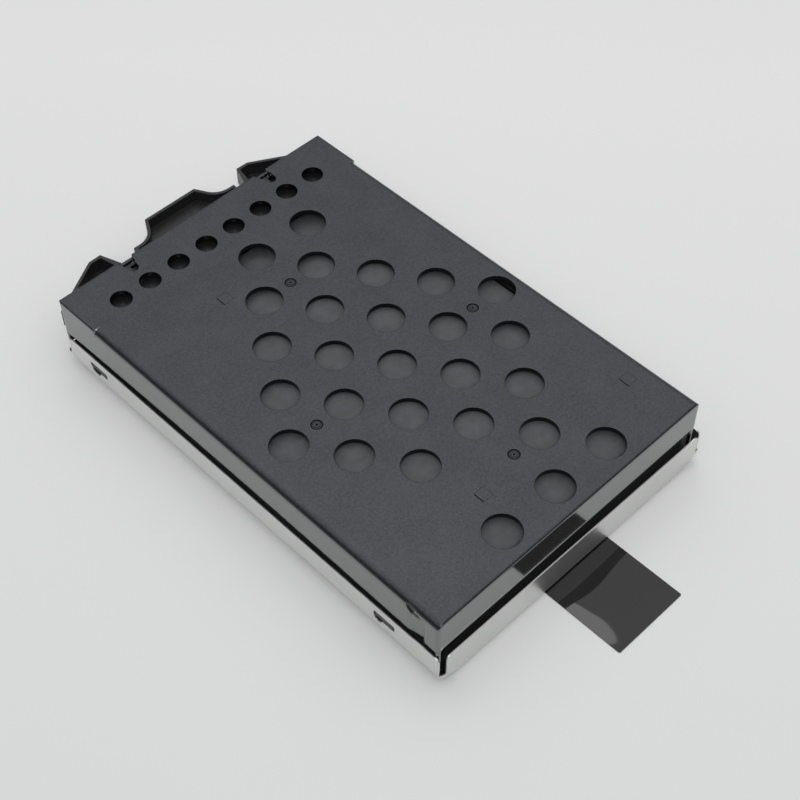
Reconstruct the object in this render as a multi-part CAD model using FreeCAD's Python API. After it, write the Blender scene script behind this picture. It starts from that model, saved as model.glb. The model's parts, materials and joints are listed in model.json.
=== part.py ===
import FreeCAD, Part
import math
import os

# Shock-mounted caddy for a 2.5-inch drive.
# Millimetres. +Z up, origin on the table under the middle of the cover.
# -Y is the front with the pull tab, +Y is the rear with the docking bay.
# Every piece is one STEP file in parts/.

os.makedirs("parts", exist_ok=True)
V = FreeCAD.Vector

# ------------------------------------------------------------------ sizes
# the drive, standard 2.5-inch size
DRIVE_W = 69.85
DRIVE_L = 100.2
DRIVE_H = 9.5
LID_T = 0.7              # lid of the drive
DRIVE_CX = 0.2           # the drive sits a little to the right of the middle

# room round the drive
SIDE_CUSHION = 1.375
FRONT_CUSHION = 2.0
REAR_CUSHION = 2.6
TOP_CUSHION = 5.5        # cushion and the air above it
BOTTOM_CUSHION = 3.4     # cushion and the insulating sheet
REAR_PAD_W = 0.165 * DRIVE_W
SIDE_RING = 1.1          # frame beside the cushions
FRONT_RING = 1.2         # frame in front of them
REAR_BLOCK = 8.8         # frame block behind the drive

# walls and clearances
PLATE = 1.2              # top plate of the cover
WALL = 1.3               # walls of the cover
SHEET = 0.3              # tray metal
FILM = 0.2               # pull film
GAP = 0.3                # clearance between neighbouring hard pieces
SEAT = 0.05              # clearance of a piece lying on another

# levels and outer sizes, from the drive outwards
FLOOR_Z0 = FILM
FLOOR_TOP = FLOOR_Z0 + SHEET
DZ0 = FLOOR_TOP + BOTTOM_CUSHION
DZ1 = DZ0 + DRIVE_H
UNDER = DZ1 + TOP_CUSHION               # underside of the top plate
HEIGHT = UNDER + PLATE
COVER_W = DRIVE_W + 2 * (SIDE_CUSHION + SIDE_RING + GAP + WALL)
COVER_L = DRIVE_L + FRONT_CUSHION + FRONT_RING + REAR_CUSHION + REAR_BLOCK + 2 * (GAP + WALL)
HX = COVER_W / 2
HY = COVER_L / 2
INX = HX - WALL
INY = HY - WALL
DX0 = DRIVE_CX - DRIVE_W / 2
DX1 = DRIVE_CX + DRIVE_W / 2
DY0 = -INY + GAP + FRONT_RING + FRONT_CUSHION
DY1 = DY0 + DRIVE_L

# cover
EDGE_R = 2.0             # long top edges
EDGE_R_REAR = 0.5        # the same edges near the rear
SHARP_REAR = 12.8        # length at the rear with the small edge radius
FRONT_R = 0.7            # front top edge
REAR_CHAMFER = 0.3       # rear top edge
CORNER_R = 0.8           # upright corners
LEG_X = 1.5              # corner legs, measured along the front and rear walls
LEG_Y = 0.6              # the same, along the long walls
LEG_INSET = 0.3
RIM_Z = HEIGHT - 9.1     # lower edge of the walls

# holes in the cover
HOLE_D = 8.5
HOLE_CX = 1.1            # centre of the hole field
HOLE_CY = -7.1
HOLE_PX = (HX - 8.0) / 4                # half pitch across
HOLE_PY = (HY - 13.8) / 4               # row pitch
HOLE_ROWS = {
    4: (0, 2),
    3: (-1, 1),
    2: (-2, 0, 2),
    1: (-3, -1, 1, 3),
    0: (-4, -2, 0, 2, 4),
    -1: (-3, -1, 1, 3),
    -2: (-2, 0, 2),
    -3: (1,),
    -4: (-2, 0, 2),
}
REAR_CX = -0.2           # centre of everything at the rear edge
VENT_D = 5.1
VENT_COUNT = 8
VENT_PITCH = 2 * (HX - 10.4) / (VENT_COUNT - 1)
VENT_Y = HY - 9.6
NOTCH_X = 20.65          # rear notches, each side of REAR_CX

# tray
TRAY_TOP = RIM_Z - 1.875
TRAY_X0 = -HX - 0.35
TRAY_X1 = HX + 1.45
TRAY_Y0 = -HY - 1.15     # outside of the front wall
TRAY_Y1 = HY + 0.35      # outside of the rear wall
SIDE_BEND = 3.6          # outside bend radius of the long sides
END_BEND = 0.8           # outside bend radius of front and rear
SIDE_Y0 = -HY - 0.65     # ends of the long sides
SIDE_Y1 = HY - 1.4
FLAT_X0 = TRAY_X0 + SIDE_BEND           # flat part of the tray floor
FLAT_X1 = TRAY_X1 - SIDE_BEND
WALL_CORNER_R = 1.2      # upper corners of the tray walls
EAR_TOP = 3.1            # end walls reach round the bends below this level
EAR_RISE = 0.8           # and a little higher towards the sides
SLOT_Z0 = TRAY_TOP - 3.7                # slots for the hooks of the frame
SLOT_Z1 = TRAY_TOP - 1.9
SLOT_L = 5.9
FRONT_SLOT_Y = -HY + 11.6
REAR_SLOT_Y = HY - 14.9
# each slot: its start and end, and the start and end of the dip below it
SLOTS = ((FRONT_SLOT_Y, FRONT_SLOT_Y + SLOT_L, FRONT_SLOT_Y + 3.5, FRONT_SLOT_Y + 5.7),
         (REAR_SLOT_Y, REAR_SLOT_Y + SLOT_L, REAR_SLOT_Y + 2.6, REAR_SLOT_Y + 5.6))

# pull film
TAB_X0 = -8.6
TAB_X1 = 10.85
TAB_Y = TRAY_Y0 - 19.85

# inner frame
RING_X0 = DX0 - SIDE_CUSHION            # inside of the ring
RING_X1 = DX1 + SIDE_CUSHION
RING_Y0 = DY0 - FRONT_CUSHION
RING_Y1 = DY1 + REAR_CUSHION
SKIRT_X0 = TRAY_X0 + SHEET + GAP        # lower ring, in the tray
SKIRT_X1 = TRAY_X1 - SHEET - GAP
SKIRT_Y0 = -HY - 0.4
SKIRT_Y1 = HY - 0.4
SKIRT_Z0 = FLOOR_TOP + 0.35
SKIRT_TOP = SLOT_Z1 - 0.1
SPIGOT_X = INX - GAP                    # upper ring, in the cover
SPIGOT_Y = INY - GAP
SPIGOT_TOP = UNDER - 1.5
DECK_T = 1.0             # roof of the rear block

# docking bay and guide prongs
PRONG_TOP = HEIGHT - 5.6
BAY_TOP = HEIGHT - 3.2
BAY_FLOOR = BAY_TOP - 3.0
BAY_Z0 = BAY_FLOOR - 4.0
BAY_T = 0.8              # floors of the bay
BAY_WALL = 0.75          # rim of the bay
BAY_X = 15.1             # half width over the wings
BAY_ROOT = HY - 2.0      # where bay and prongs grow out of the frame
ROOM_Z0 = BAY_Z0 - 0.5   # room for the docking board

# boards
BOARD_Z0 = DZ0 + 3.2     # board of the drive
BOARD_T = 1.0
BOARD_L = 50.8
BOARD_SIDE = 2.2         # from the outside of the case to the board
BOARD_REAR = 5.2
LEDGE_L = 48.0           # ledges that carry it
LEDGE_REAR = 6.0
CHIP_PITCH = 0.215 * DRIVE_W            # memory chips
CHIP_W = 0.8 * CHIP_PITCH
CHIP_L = 18.0
CHIP_REAR = 41.0         # from the rear of the case to their middle
CPU_X = -10.0            # controller and the cushion on it
CPU_Y = DY1 - 19.0
CPU_W = 14.0
SOCKET_Z0 = DZ0 + 1.1    # underside of the drive's plug
HOST_Z0 = BAY_Z0 + BAY_T + SEAT         # docking board
SCREW_X = BAY_X - 4.6
SCREW_Y = HY + 0.6


# ---------------------------------------------------------------- helpers
def box(x0, x1, y0, y1, z0, z1):
    return Part.makeBox(x1 - x0, y1 - y0, z1 - z0, V(x0, y0, z0))


def rod(x, y, z0, z1, d):
    return Part.makeCylinder(d / 2, z1 - z0, V(x, y, z0), V(0, 0, 1))


def poly_xy(pts, z0, z1):
    wire = Part.makePolygon([V(x, y, z0) for x, y in pts] + [V(pts[0][0], pts[0][1], z0)])
    return Part.Face(wire).extrude(V(0, 0, z1 - z0))


def poly_yz(pts, x0, x1):
    wire = Part.makePolygon([V(x0, y, z) for y, z in pts] + [V(x0, pts[0][0], pts[0][1])])
    return Part.Face(wire).extrude(V(x1 - x0, 0, 0))


def poly_xz(pts, y0, y1):
    wire = Part.makePolygon([V(x, y0, z) for x, z in pts] + [V(pts[0][0], y0, pts[0][1])])
    return Part.Face(wire).extrude(V(0, y1 - y0, 0))


def rounded_wire(corners):
    # closed outline in the XY plane from corners (x, y, radius)
    edges = []
    ends = []
    n = len(corners)
    for i in range(n):
        x, y, r = corners[i]
        p = V(x, y, 0)
        if r == 0:
            ends.append((p, p))
            continue
        a = V(corners[i - 1][0], corners[i - 1][1], 0) - p
        b = V(corners[(i + 1) % n][0], corners[(i + 1) % n][1], 0) - p
        a.normalize()
        b.normalize()
        half = a.getAngle(b) / 2
        reach = r / math.tan(half)
        start = p + a * reach
        end = p + b * reach
        inward = a + b
        inward.normalize()
        centre = p + inward * (r / math.sin(half))
        edges.append(Part.Arc(start, centre - inward * r, end).toShape())
        ends.append((start, end))
    for i in range(n):
        edges.append(Part.makeLine(ends[i][1], ends[(i + 1) % n][0]))
    return Part.Wire(Part.__sortEdges__(edges))


def fuse(first, rest):
    out = first
    for s in rest:
        out = out.fuse(s)
    return out.removeSplitter()


def cut(body, tools):
    out = body
    for t in tools:
        out = out.cut(t)
    return out


def upright_edges(shape):
    found = []
    for e in shape.Edges:
        a = e.Vertexes[0].Point
        b = e.Vertexes[-1].Point
        if abs(a.x - b.x) < 1e-6 and abs(a.y - b.y) < 1e-6:
            found.append(e)
    return found


def slab(x0, x1, y0, y1, z0, z1, r):
    # box with rounded upright corners
    b = box(x0, x1, y0, y1, z0, z1)
    return b.makeFillet(r, upright_edges(b))


def save(name, shape):
    if len(shape.Solids) == 1:
        shape = shape.Solids[0]
    shape.exportStep("parts/" + name + ".step")


# -------------------------------------------------------------- top cover
def round_long_edge(side, y0, y1, r):
    # what is removed to round one long top edge
    x_out = side * (HX + 1)
    x_in = side * (HX - r)
    bar = box(min(x_out, x_in), max(x_out, x_in), y0, y1, HEIGHT - r, HEIGHT + 1)
    core = Part.makeCylinder(r, y1 - y0, V(x_in, y0, HEIGHT - r), V(0, 1, 0))
    return bar.cut(core)


def round_front_edge():
    r = FRONT_R
    bar = box(-HX - 1, HX + 1, -HY - 1, -HY + r, HEIGHT - r, HEIGHT + 1)
    core = Part.makeCylinder(r, COVER_W + 2, V(-HX - 1, -HY + r, HEIGHT - r), V(1, 0, 0))
    return bar.cut(core)


def bevel_rear_edge():
    c = REAR_CHAMFER
    pts = [(HY - c, HEIGHT), (HY, HEIGHT - c), (HY + 1, HEIGHT - c), (HY + 1, HEIGHT + 1),
           (HY - c, HEIGHT + 1)]
    return poly_yz(pts, -HX - 1, HX + 1)


def side_lower_edge(side):
    # the wall's lower edge is a shallow arch between the corner legs
    y_leg = HY - LEG_Y
    z_rear = RIM_Z - 0.8
    z_front = RIM_Z - 0.55
    arch = Part.Arc(V(0, y_leg, z_rear), V(0, 0, RIM_Z + 0.4), V(0, -y_leg, z_front)).toShape()
    rest = Part.makePolygon([V(0, -y_leg, z_front), V(0, -y_leg, 0), V(0, y_leg, 0), V(0, y_leg, z_rear)])
    face = Part.Face(Part.Wire([arch] + rest.Edges))
    face.translate(V(side * (HX + 2), 0, 0))
    return face.extrude(V(-side * (WALL + 2.5), 0, 0))


def front_lower_edge():
    x0 = -HX + LEG_X
    x1 = HX - LEG_X
    pts = [(x0, 0), (x0, RIM_Z - 1.45), (x0 + 17, RIM_Z - 0.5), (x0 + 40, RIM_Z + 0.1),
           (x1, RIM_Z + 0.3), (x1, 0)]
    return poly_xz(pts, -HY - 1, -INY + 0.5)


def rear_lower_edge():
    # room for the docking bay and the prongs
    c = REAR_CX
    z_prong = PRONG_TOP + 0.4
    z_bay = BAY_TOP + 0.35
    x_bay = BAY_X + 0.9
    x_leg = HX - LEG_X
    pts = [(-x_leg, 0), (-x_leg, z_prong), (c - x_bay, z_prong), (c - x_bay, z_bay),
           (c + x_bay, z_bay), (c + x_bay, z_prong), (x_leg, z_prong), (x_leg, 0)]
    return poly_xz(pts, INY - 0.5, HY + 1)


def rear_notch(side):
    # slot with a round inner end; the rear wall stays across its mouth as a low bar
    pts = [(-2.55, 1), (-2.35, 0), (-1.25, -3.8), (1.25, -3.8), (1.65, 0), (1.75, 1)]
    plan = [(REAR_CX + side * (NOTCH_X + x), HY + y) for x, y in pts]
    wedge = poly_xy(plan, HEIGHT - 1.1, HEIGHT + 1)
    inner = poly_xy(plan, UNDER - 1, HEIGHT + 1)
    inner = inner.cut(box(-HX, HX, HY - 0.6, HY + 2, 0, HEIGHT + 2))
    end = rod(REAR_CX + side * NOTCH_X, HY - 3.75, UNDER - 1, HEIGHT + 1, 2.5)
    return wedge.fuse(inner).fuse(end)


def latch_pocket(side):
    # wedge-shaped ramp in the wall with an eye-shaped window above it
    x_face = side * (HX + 0.2)
    deep = side * (HX - 0.85)
    ramp = poly_xy([(x_face, -HY + 9.4), (x_face, -HY + 3.8), (deep, -HY + 3.8)], 5.0, HEIGHT - 3.1)
    rear_tip = V(0, -HY + 8.8, HEIGHT - 1.35)
    front_tip = V(0, -HY + 4.0, HEIGHT - 3.1)
    low = Part.Arc(rear_tip, V(0, -HY + 6.4, HEIGHT - 3.35), front_tip).toShape()
    high = Part.Arc(front_tip, V(0, -HY + 6.4, HEIGHT - 1.3), rear_tip).toShape()
    window = Part.Face(Part.Wire([low, high]))
    window.translate(V(side * (HX + 1), 0, 0))
    return ramp.fuse(window.extrude(V(-side * (WALL + 1.1), 0, 0)))


def mark_ring(x, y):
    # moulding mark: a shallow ring groove
    z0 = HEIGHT - 0.25
    return rod(x, y, z0, HEIGHT + 1, 2.7).cut(rod(x, y, z0 - 1, HEIGHT + 2, 1.2))


def top_cover():
    body = slab(-HX, HX, -HY, HY, TRAY_TOP - 2.5, HEIGHT, CORNER_R)
    room = box(-INX, INX, -INY, INY, 0, UNDER)
    cover = body.cut(room)
    tools = []
    for side in (-1, 1):
        tools.append(round_long_edge(side, -HY - 1, HY - SHARP_REAR, EDGE_R))
        tools.append(round_long_edge(side, HY - SHARP_REAR, HY + 1, EDGE_R_REAR))
        tools.append(side_lower_edge(side))
        tools.append(rear_notch(side))
        tools.append(latch_pocket(side))
        # the legs stand a little inside the walls so that they clear the tray
        x_in = side * (HX - LEG_INSET)
        x_out = side * (HX + 1)
        tools.append(box(min(x_in, x_out), max(x_in, x_out), -HY - 1, HY + 1, 0, TRAY_TOP + 0.15))
    tools.append(round_front_edge())
    tools.append(bevel_rear_edge())
    tools.append(front_lower_edge())
    tools.append(rear_lower_edge())
    for row in HOLE_ROWS:
        for col in HOLE_ROWS[row]:
            x = HOLE_CX + col * HOLE_PX
            y = HOLE_CY + row * HOLE_PY
            tools.append(rod(x, y, UNDER - 1, HEIGHT + 1, HOLE_D))
    for i in range(VENT_COUNT):
        x = REAR_CX + (i - (VENT_COUNT - 1) / 2) * VENT_PITCH
        tools.append(rod(x, VENT_Y, UNDER - 1, HEIGHT + 1, VENT_D))
    for col, row in ((0, 3), (3, 0), (-3, 0), (0, -3)):
        tools.append(mark_ring(HOLE_CX + col * HOLE_PX, HOLE_CY + row * HOLE_PY))
    return cut(cover, tools)


# -------------------------------------------------------------- base tray
def bend_profile_x(x_wall, side, r):
    # closed outline, in x and z, of one side wall with its bend and floor strip
    xc = x_wall - side * r
    zc = FLOOR_Z0 + r
    ri = r - SHEET
    k = math.sqrt(0.5)
    outer = Part.Arc(V(x_wall, 0, zc), V(xc + side * r * k, 0, zc - r * k), V(xc, 0, FLOOR_Z0)).toShape()
    inner = Part.Arc(V(xc, 0, FLOOR_TOP), V(xc + side * ri * k, 0, zc - ri * k),
                     V(x_wall - side * SHEET, 0, zc)).toShape()
    x_mid = x_wall - side * 20
    edges = [
        Part.makeLine(V(x_wall, 0, TRAY_TOP), V(x_wall, 0, zc)),
        outer,
        Part.makeLine(V(xc, 0, FLOOR_Z0), V(x_mid, 0, FLOOR_Z0)),
        Part.makeLine(V(x_mid, 0, FLOOR_Z0), V(x_mid, 0, FLOOR_TOP)),
        Part.makeLine(V(x_mid, 0, FLOOR_TOP), V(xc, 0, FLOOR_TOP)),
        inner,
        Part.makeLine(V(x_wall - side * SHEET, 0, zc), V(x_wall - side * SHEET, 0, TRAY_TOP)),
        Part.makeLine(V(x_wall - side * SHEET, 0, TRAY_TOP), V(x_wall, 0, TRAY_TOP)),
    ]
    return Part.Face(Part.Wire(edges))


def long_side(x_wall, side):
    face = bend_profile_x(x_wall, side, SIDE_BEND)
    face.translate(V(0, SIDE_Y0, 0))
    return face.extrude(V(0, SIDE_Y1 - SIDE_Y0, 0))


def end_bend(y_wall, side, x0, x1):
    # floor strip, bend and the low part of the front or rear wall
    r = END_BEND
    ri = r - SHEET
    yc = y_wall - side * r
    zc = FLOOR_Z0 + r
    k = math.sqrt(0.5)
    outer = Part.Arc(V(x0, y_wall, zc), V(x0, yc + side * r * k, zc - r * k), V(x0, yc, FLOOR_Z0)).toShape()
    inner = Part.Arc(V(x0, yc, FLOOR_TOP), V(x0, yc + side * ri * k, zc - ri * k),
                     V(x0, y_wall - side * SHEET, zc)).toShape()
    y_mid = y_wall - side * 6
    z_up = zc + 0.5
    edges = [
        Part.makeLine(V(x0, y_wall, z_up), V(x0, y_wall, zc)),
        outer,
        Part.makeLine(V(x0, yc, FLOOR_Z0), V(x0, y_mid, FLOOR_Z0)),
        Part.makeLine(V(x0, y_mid, FLOOR_Z0), V(x0, y_mid, FLOOR_TOP)),
        Part.makeLine(V(x0, y_mid, FLOOR_TOP), V(x0, yc, FLOOR_TOP)),
        inner,
        Part.makeLine(V(x0, y_wall - side * SHEET, zc), V(x0, y_wall - side * SHEET, z_up)),
        Part.makeLine(V(x0, y_wall - side * SHEET, z_up), V(x0, y_wall, z_up)),
    ]
    return Part.Face(Part.Wire(edges)).extrude(V(x1 - x0, 0, 0))


def end_wall(y_out, side, x0, x1):
    # upright plate, wider than its bend: its ears reach round the side bends, its upper corners are rounded
    z_bend = FLOOR_Z0 + END_BEND + 0.2
    ear_x0 = TRAY_X0 + 0.3
    ear_x1 = TRAY_X1 - 0.3
    pts = [(FLAT_X0 + 0.2, z_bend), (ear_x0 + 1.0, EAR_TOP - 0.8), (ear_x0, EAR_TOP - 0.2),
           (ear_x0, EAR_TOP + EAR_RISE), (x0, EAR_TOP), (x0, TRAY_TOP), (x1, TRAY_TOP), (x1, EAR_TOP),
           (ear_x1, EAR_TOP + EAR_RISE), (ear_x1, EAR_TOP - 0.2), (ear_x1 - 1.0, EAR_TOP - 0.8),
           (FLAT_X1 - 0.2, z_bend)]
    y_in = y_out - side * SHEET
    plate = poly_xz(pts, min(y_out, y_in), max(y_out, y_in))
    top = []
    for e in plate.Edges:
        a = e.Vertexes[0].Point
        b = e.Vertexes[-1].Point
        if abs(a.z - TRAY_TOP) < 1e-6 and abs(b.z - TRAY_TOP) < 1e-6 and abs(a.x - b.x) < 1e-6:
            top.append(e)
    return plate.makeFillet(WALL_CORNER_R, top)


def hook_slot(x_wall, y0, y1, y_dip0, y_dip1):
    # slot for a hook, with a rounded dip below it
    x_a = x_wall - 2
    bar = box(x_a, x_a + 4, y0, y1, SLOT_Z0, SLOT_Z1)
    long_edges = [e for e in bar.Edges if abs(e.Vertexes[0].Point.y - e.Vertexes[-1].Point.y) < 1e-6
                  and abs(e.Vertexes[0].Point.z - e.Vertexes[-1].Point.z) < 1e-6]
    bar = bar.makeFillet(0.6, long_edges)
    rn = (y_dip1 - y_dip0) / 2
    dip = Part.makeCylinder(rn, 4, V(x_a, (y_dip0 + y_dip1) / 2, SLOT_Z0 + 0.1), V(1, 0, 0))
    squash = box(x_a, x_a + 4, y_dip0, y_dip1, SLOT_Z0 - 1.1, SLOT_Z0 + 0.6)
    return bar.fuse(dip.common(squash))


def base_tray():
    left = long_side(TRAY_X0, -1)
    right = long_side(TRAY_X1, 1)
    middle = box(TRAY_X0 + 19, TRAY_X1 - 19, SIDE_Y0, SIDE_Y1, FLOOR_Z0, FLOOR_TOP)
    tray = fuse(left, [right, middle])
    front = end_bend(TRAY_Y0, -1, FLAT_X0 + 0.2, FLAT_X1 - 0.2)
    rear = end_bend(TRAY_Y1, 1, FLAT_X0 + 0.2, FLAT_X1 - 0.2)
    tray = fuse(tray, [front, rear,
                       end_wall(TRAY_Y0, -1, TRAY_X0 + 1.7, TRAY_X1 - 1.25),
                       end_wall(TRAY_Y1, 1, TRAY_X0 + 2.35, TRAY_X1 - 3.7)])
    # rounded upper ends of the long sides
    tops = []
    for x_wall in (TRAY_X0, TRAY_X1):
        for y in (SIDE_Y0, SIDE_Y1):
            for e in tray.Edges:
                a = e.Vertexes[0].Point
                b = e.Vertexes[-1].Point
                on_top = abs(a.z - TRAY_TOP) < 1e-6 and abs(b.z - TRAY_TOP) < 1e-6
                at_end = abs(a.y - y) < 1e-6 and abs(b.y - y) < 1e-6
                if on_top and at_end and abs(a.x - x_wall) < 1.0:
                    tops.append(e)
    tray = tray.makeFillet(WALL_CORNER_R, tops)
    for x_wall in (TRAY_X0, TRAY_X1):
        for y0, y1, dip0, dip1 in SLOTS:
            tray = tray.cut(hook_slot(x_wall, y0, y1, dip0, dip1))
    return tray


# --------------------------------------------------------------- pull film
def pull_film():
    panel = slab(TRAY_X0 + 9.35, TRAY_X1 - 8.95, TRAY_Y0 + 4.15, TRAY_Y1 - 15.35, 0, FILM, 2.0)
    tab = box(TAB_X0, TAB_X1, TAB_Y, TRAY_Y0 + 10, 0, FILM)
    corners = []
    for e in upright_edges(tab):
        if abs(e.Vertexes[0].Point.y - TAB_Y) < 1e-6:
            corners.append(e)
    tab = tab.makeFillet(0.4, corners)
    return fuse(panel, [tab])


# ------------------------------------------------------------- inner frame
def bay_outline():
    # outside of the docking bay seen from above: wings, smooth flanks, flat nose
    c = REAR_CX
    half = [(BAY_X, BAY_ROOT, 0), (BAY_X, HY + 3.7, 0), (10.5, HY + 3.7, 5.0), (7.45, HY + 9.3, 0.4)]
    right = [(c + x, y, r) for x, y, r in half]
    left = [(c - x, y, r) for x, y, r in reversed(half)]
    return rounded_wire(right + left)


def bay_solid(inset, z0, z1):
    wire = bay_outline()
    if inset > 0:
        wire = wire.makeOffset2D(-inset, join=2)
    face = Part.Face(wire)
    face.translate(V(0, 0, z0))
    return face.extrude(V(0, 0, z1 - z0))


def docking_bay():
    # thin rim all round, a floor for the eye and a chamber for the plug below it
    shell = bay_solid(0, BAY_Z0, BAY_TOP)
    above = bay_solid(BAY_WALL, BAY_FLOOR, BAY_TOP + 1)
    below = bay_solid(BAY_WALL, BAY_Z0 + BAY_T, BAY_FLOOR - BAY_T)
    c = REAR_CX
    mouth = box(c - 6.3, c + 6.3, HY + 7.5, HY + 11, BAY_Z0 + BAY_T, BAY_FLOOR - BAY_T)
    pilots = [rod(c + side * SCREW_X, SCREW_Y, BAY_Z0 - 1, BAY_Z0 + 2, 1.5) for side in (-1, 1)]
    return cut(shell, [above, below, mouth] + pilots)


def prong(side):
    # hollow pointed guide with a thin rim, open on top; x from REAR_CX, y from the cover's rear face
    x_a = HX - 2.5
    x_b = HX - 1.1
    outer = [(x_a, -2.0), (x_a, GAP), (x_b, 1.64), (24.1, 9.5), (20.8, 9.6), (18.9, 4.2), (19.2, -2.0)]
    inner = [(x_a - 0.65, -0.1), (x_a - 0.65, 0.57), (x_b - 1.15, 1.5), (23.95, 8.8), (21.3, 8.8),
             (20.3, 4.4), (20.3, -0.1)]
    solid = poly_xy([(REAR_CX + side * x, HY + y) for x, y in outer], BAY_Z0, PRONG_TOP)
    hollow = poly_xy([(REAR_CX + side * x, HY + y) for x, y in inner], BAY_Z0 + 1.0, PRONG_TOP + 1)
    return solid.cut(hollow)


def inner_frame():
    # lower ring: sits in the tray, its long lower edges follow the tray's bends
    skirt = box(SKIRT_X0, SKIRT_X1, SKIRT_Y0, SKIRT_Y1, SKIRT_Z0, SKIRT_TOP)
    edges = []
    for e in skirt.Edges:
        a = e.Vertexes[0].Point
        b = e.Vertexes[-1].Point
        if abs(a.z - SKIRT_Z0) < 1e-6 and abs(b.z - SKIRT_Z0) < 1e-6 and abs(a.x - b.x) < 1e-6:
            edges.append(e)
    skirt = skirt.makeFillet(SIDE_BEND - SHEET - GAP, edges)
    # upper ring: fits inside the cover
    spigot = box(-SPIGOT_X, SPIGOT_X, -SPIGOT_Y, SPIGOT_Y, SKIRT_TOP - 1, SPIGOT_TOP)
    body = fuse(skirt, [spigot])
    body = body.cut(box(RING_X0, RING_X1, RING_Y0, RING_Y1, -1, HEIGHT))
    # open corners for the legs of the cover
    for sx in (-1, 1):
        for sy in (-1, 1):
            x_in = sx * (HX - LEG_X - 0.5)
            y_in = sy * (HY - LEG_Y - 0.7)
            x_out = sx * (HX + 3)
            y_out = sy * (HY + 3)
            body = body.cut(box(min(x_in, x_out), max(x_in, x_out), min(y_in, y_out), max(y_in, y_out),
                                -1, HEIGHT))
    # hollow under the rear block
    c = REAR_CX
    y_hollow = RING_Y1 + 1.6
    body = body.cut(box(RING_X0 + 2.1, RING_X1 - 2.5, y_hollow, SKIRT_Y1 - 1.4, -1, ROOM_Z0 - 1.2))
    # room for the docking board above it, and the opening of the rear wall
    body = body.cut(box(c - 30.0, c + 30.0, y_hollow, HY - 3.0, ROOM_Z0, SPIGOT_TOP - DECK_T))
    x_open = BAY_X - 0.9
    body = body.cut(box(c - x_open, c + x_open, HY - 4.0, HY + 1, BAY_Z0 + BAY_T, SPIGOT_TOP + 1))
    deck = box(-SPIGOT_X + 2.0, SPIGOT_X - 2.0, DY1 - 0.8, HY - 4.0, SPIGOT_TOP - DECK_T, SPIGOT_TOP)
    # passage for the drive socket and the flat cable
    body = body.cut(box(-18.5, 18.5, DY1 - 1.0, DY1 + 5.0, SOCKET_Z0, SPIGOT_TOP - DECK_T))
    body = body.cut(box(-10.0, 10.0, DY1 + 4.0, DY1 + 6.5, SOCKET_Z0, HOST_Z0 + 1.25))
    body = fuse(body, [deck, docking_bay(), prong(-1), prong(1)])
    body = body.cut(box(c - x_open, c + x_open, HY - 3.5, HY - 0.5, BAY_Z0 + BAY_T, BAY_FLOOR - BAY_T))
    # snap ribs that show in the cover's rear notches
    added = []
    for side in (-1, 1):
        x = c + side * NOTCH_X - 0.6
        added.append(slab(x - 0.6, x + 0.6, HY - 3.8, SPIGOT_Y, SPIGOT_TOP - 5, HEIGHT - 0.9, 0.3))
    # hooks in the tray slots
    z0 = SLOT_Z0 + 0.3
    z1 = SLOT_Z1 - 0.3
    for y0, y1, dip0, dip1 in SLOTS:
        added.append(box(TRAY_X0 + 0.1, SKIRT_X0 + 1.0, y0 + 0.4, y1 - 0.4, z0, z1))
        added.append(box(SKIRT_X1 - 1.0, TRAY_X1 - 0.1, y0 + 0.4, y1 - 0.4, z0, z1))
    return fuse(body, added)


# ------------------------------------------------------------------- pads
def top_pad():
    # cushion with a slightly crowned top that falls away at the front and the rear
    x0 = DX0 - 0.775
    x1 = DX1 + 0.775
    y0 = DY0 - 1.4
    z_low = DZ1 + SEAT
    z_crown = UNDER - 0.3
    z_side = z_crown - 1.2
    crown = Part.Arc(V(x0, y0, z_side), V((x0 + x1) / 2, y0, z_crown), V(x1, y0, z_side)).toShape()
    rest = Part.makePolygon([V(x1, y0, z_side), V(x1, y0, z_low), V(x0, y0, z_low), V(x0, y0, z_side)])
    pad = Part.Face(Part.Wire([crown] + rest.Edges)).extrude(V(0, DRIVE_L, 0))
    rear = poly_yz([(DY1 - 22.0, z_crown + 0.1), (DY1, z_crown - 3.0), (DY1, z_crown + 2)], x0 - 5, x1 + 5)
    y_low = DY0 - 2.8
    slope = [(DY0 + 20.2, z_crown + 0.05), (y_low, z_crown - 1.3), (y_low, z_crown + 2)]
    front = poly_yz(slope, x0 - 5, x1 + 5)
    return pad.cut(rear).cut(front)


def bottom_pad():
    return box(DX0 + 3.7, DX1 - 3.7, DY0 + 3.2, DY1 - 4.0, FLOOR_TOP + 0.15 + 2 * SEAT, DZ0 - SEAT)


def side_pad(x0, x1):
    return box(x0, x1, DY0 + 6.2, DY1 - 6.0, DZ0 - 1.0, DZ1 - 0.5)


def front_pad():
    return box(DX0 + 4.7, DX1 - 4.7, RING_Y0 + SEAT, DY0 - SEAT, DZ0 - 1.0, DZ1 - 0.5)


def rear_pad(x0, x1):
    return box(x0, x1, DY1 + SEAT, RING_Y1 - SEAT, DZ0 - 0.5, DZ1 - 0.5)


def insulating_sheet():
    return box(DX0 + 1.2, DX1 - 0.6, DY0 + 0.2, DY1, FLOOR_TOP + SEAT, FLOOR_TOP + 0.15 + SEAT)


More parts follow.
